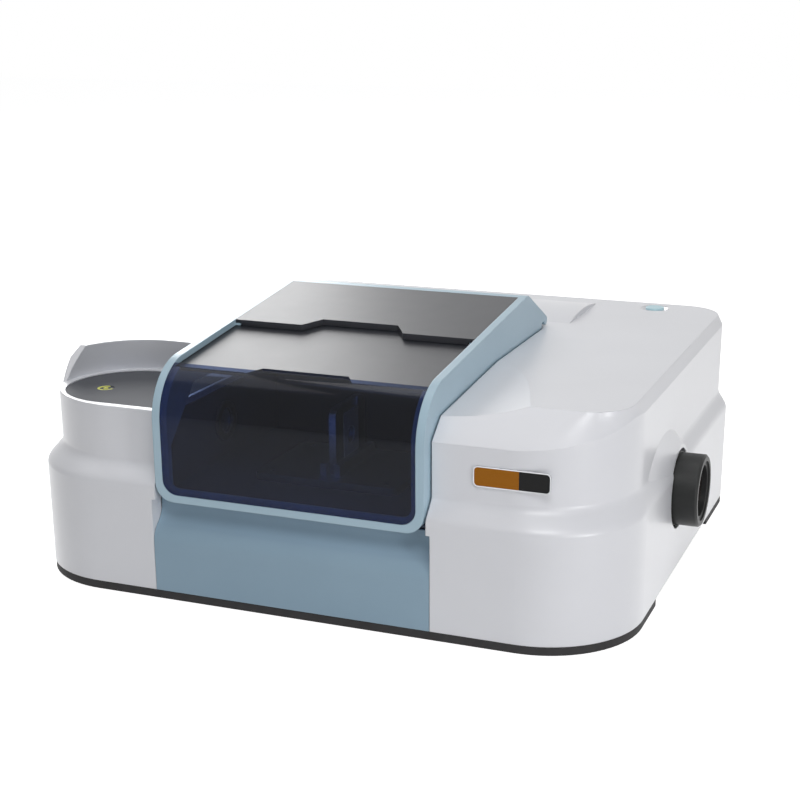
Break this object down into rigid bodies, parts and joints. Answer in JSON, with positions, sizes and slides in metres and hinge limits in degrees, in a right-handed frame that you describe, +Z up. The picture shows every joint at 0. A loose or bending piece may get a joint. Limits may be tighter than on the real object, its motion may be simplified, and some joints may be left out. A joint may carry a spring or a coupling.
{
  "type": "ftir spectrometer",
  "caption": "Benchtop FTIR spectrometer with a stepped pearl housing, a lifting blue hood with smoked windows over the sample compartment, and a desiccant cap on the side",
  "frame": {"origin": "centre of the bounding box in plan, on the plane the feet rest on", "axes": "+X to the right seen from the front, +Y to the rear, +Z up"},
  "size_m": [0.5274, 0.435, 0.2164],
  "materials": {
    "pearl_shell": "satin pearl paint",
    "blue_shell": "satin paint",
    "smoked_acrylic": "polished",
    "dark_plinth": "fine texture",
    "foot_rubber": "matte",
    "sheet_steel": "zinc plated",
    "panel_grey": "fine texture",
    "green_light": "diffuse",
    "silver_trim": "satin",
    "amber_field": "printed",
    "black_field": "printed",
    "button_blue": "polished",
    "black_plastic": "fine texture",
    "switch_black": "polished",
    "sight_glass": "polished",
    "tube_metal": "brushed",
    "desiccant": "granular",
    "tub_grey": "fine texture",
    "crystal": "polished",
    "anodised": "black anodised",
    "steel": "brushed",
    "card": "plain",
    "film": "polished",
    "cast_bench": "as cast",
    "mirror_coat": "polished",
    "source_copper": "machined",
    "board_green": "solder mask",
    "supply_case": "folded sheet",
    "port_metal": "plated"
  },
  "bodies": {
    "housing": {"upper_cover": "pearl_shell", "front_panel": "blue_shell", "base_plinth": "dark_plinth", "rubber_feet": "foot_rubber", "base_plate": "sheet_steel", "rear_panel": "sheet_steel", "control_panel": "panel_grey", "status_ring": "green_light", "badge_plate": "silver_trim", "button_bezel": "silver_trim", "badge_amber_field": "amber_field", "badge_black_field": "black_field", "cartridge_socket": "black_plastic", "button_switch": "black_plastic", "mains_inlet": "black_plastic", "voice_coil": "black_plastic", "detector_module": "black_plastic", "sample_tub": "tub_grey", "beam_windows": "crystal", "window_rings": "anodised", "mirror_mounts": "anodised", "beamsplitter": "anodised", "hinge_mounts": "steel", "hinge_pins": "steel", "sample_base": "steel", "cover_screws": "steel", "mirror_guide": "steel", "optical_bench": "cast_bench", "laser_module": "cast_bench", "mirrors": "mirror_coat", "infrared_source": "source_copper", "main_board": "board_green", "power_supply": "supply_case", "data_ports": "port_metal"},
    "hood": {"hood_frame": "blue_shell", "front_window": "smoked_acrylic", "rear_top_panel": "smoked_acrylic", "slide_rails": "anodised"},
    "operation_window": {"operation_window": "smoked_acrylic"},
    "power_button": {"power_button": "button_blue"},
    "cartridge": {"desiccant_tube": "tube_metal", "desiccant_fill": "desiccant"},
    "cartridge_cap": {"cartridge_cap": "black_plastic", "sight_glass": "sight_glass"},
    "moving_mirror": {"moving_mirror": "anodised"},
    "power_switch": {"power_switch": "switch_black"},
    "sample_holder": {"sample_holder": "steel", "sample_cell": "card", "sample_film": "film"}
  },
  "joints": [
    {"name": "hood_lift", "type": "hinge", "parent": "housing", "child": "hood", "pos_m": [-0.01575, 0.084, 0.1844], "axis": [-1, 0, 0], "range_deg": [0, 72]},
    {"name": "window_slide", "type": "slide", "parent": "hood", "child": "operation_window", "axis": [0, 0.9934, 0.1148], "range_m": [0, 0.085]},
    {"name": "button_press", "type": "slide", "parent": "housing", "child": "power_button", "axis": [0, 0, -1], "range_m": [0, 0.0015], "stiffness_N_per_m": 300, "springref_m": -0.001},
    {"name": "cartridge_pull", "type": "slide", "parent": "housing", "child": "cartridge", "axis": [1, 0, 0], "range_m": [0, 0.06]},
    {"name": "cap_turn", "type": "hinge", "parent": "cartridge", "child": "cartridge_cap", "pos_m": [0.25025, -0.02, 0.077], "axis": [1, 0, 0], "range_deg": [0, 90]},
    {"name": "mirror_scan", "type": "slide", "parent": "housing", "child": "moving_mirror", "axis": [1, 0, 0], "range_m": [-0.006, 0.006], "stiffness_N_per_m": 20},
    {"name": "switch_rock", "type": "hinge", "parent": "housing", "child": "power_switch", "pos_m": [0.09025, 0.2138, 0.066], "axis": [1, 0, 0], "range_deg": [0, 16]},
    {"name": "holder_lift", "type": "slide", "parent": "housing", "child": "sample_holder", "axis": [0, 0, 1], "range_m": [0, 0.03]}
  ]
}
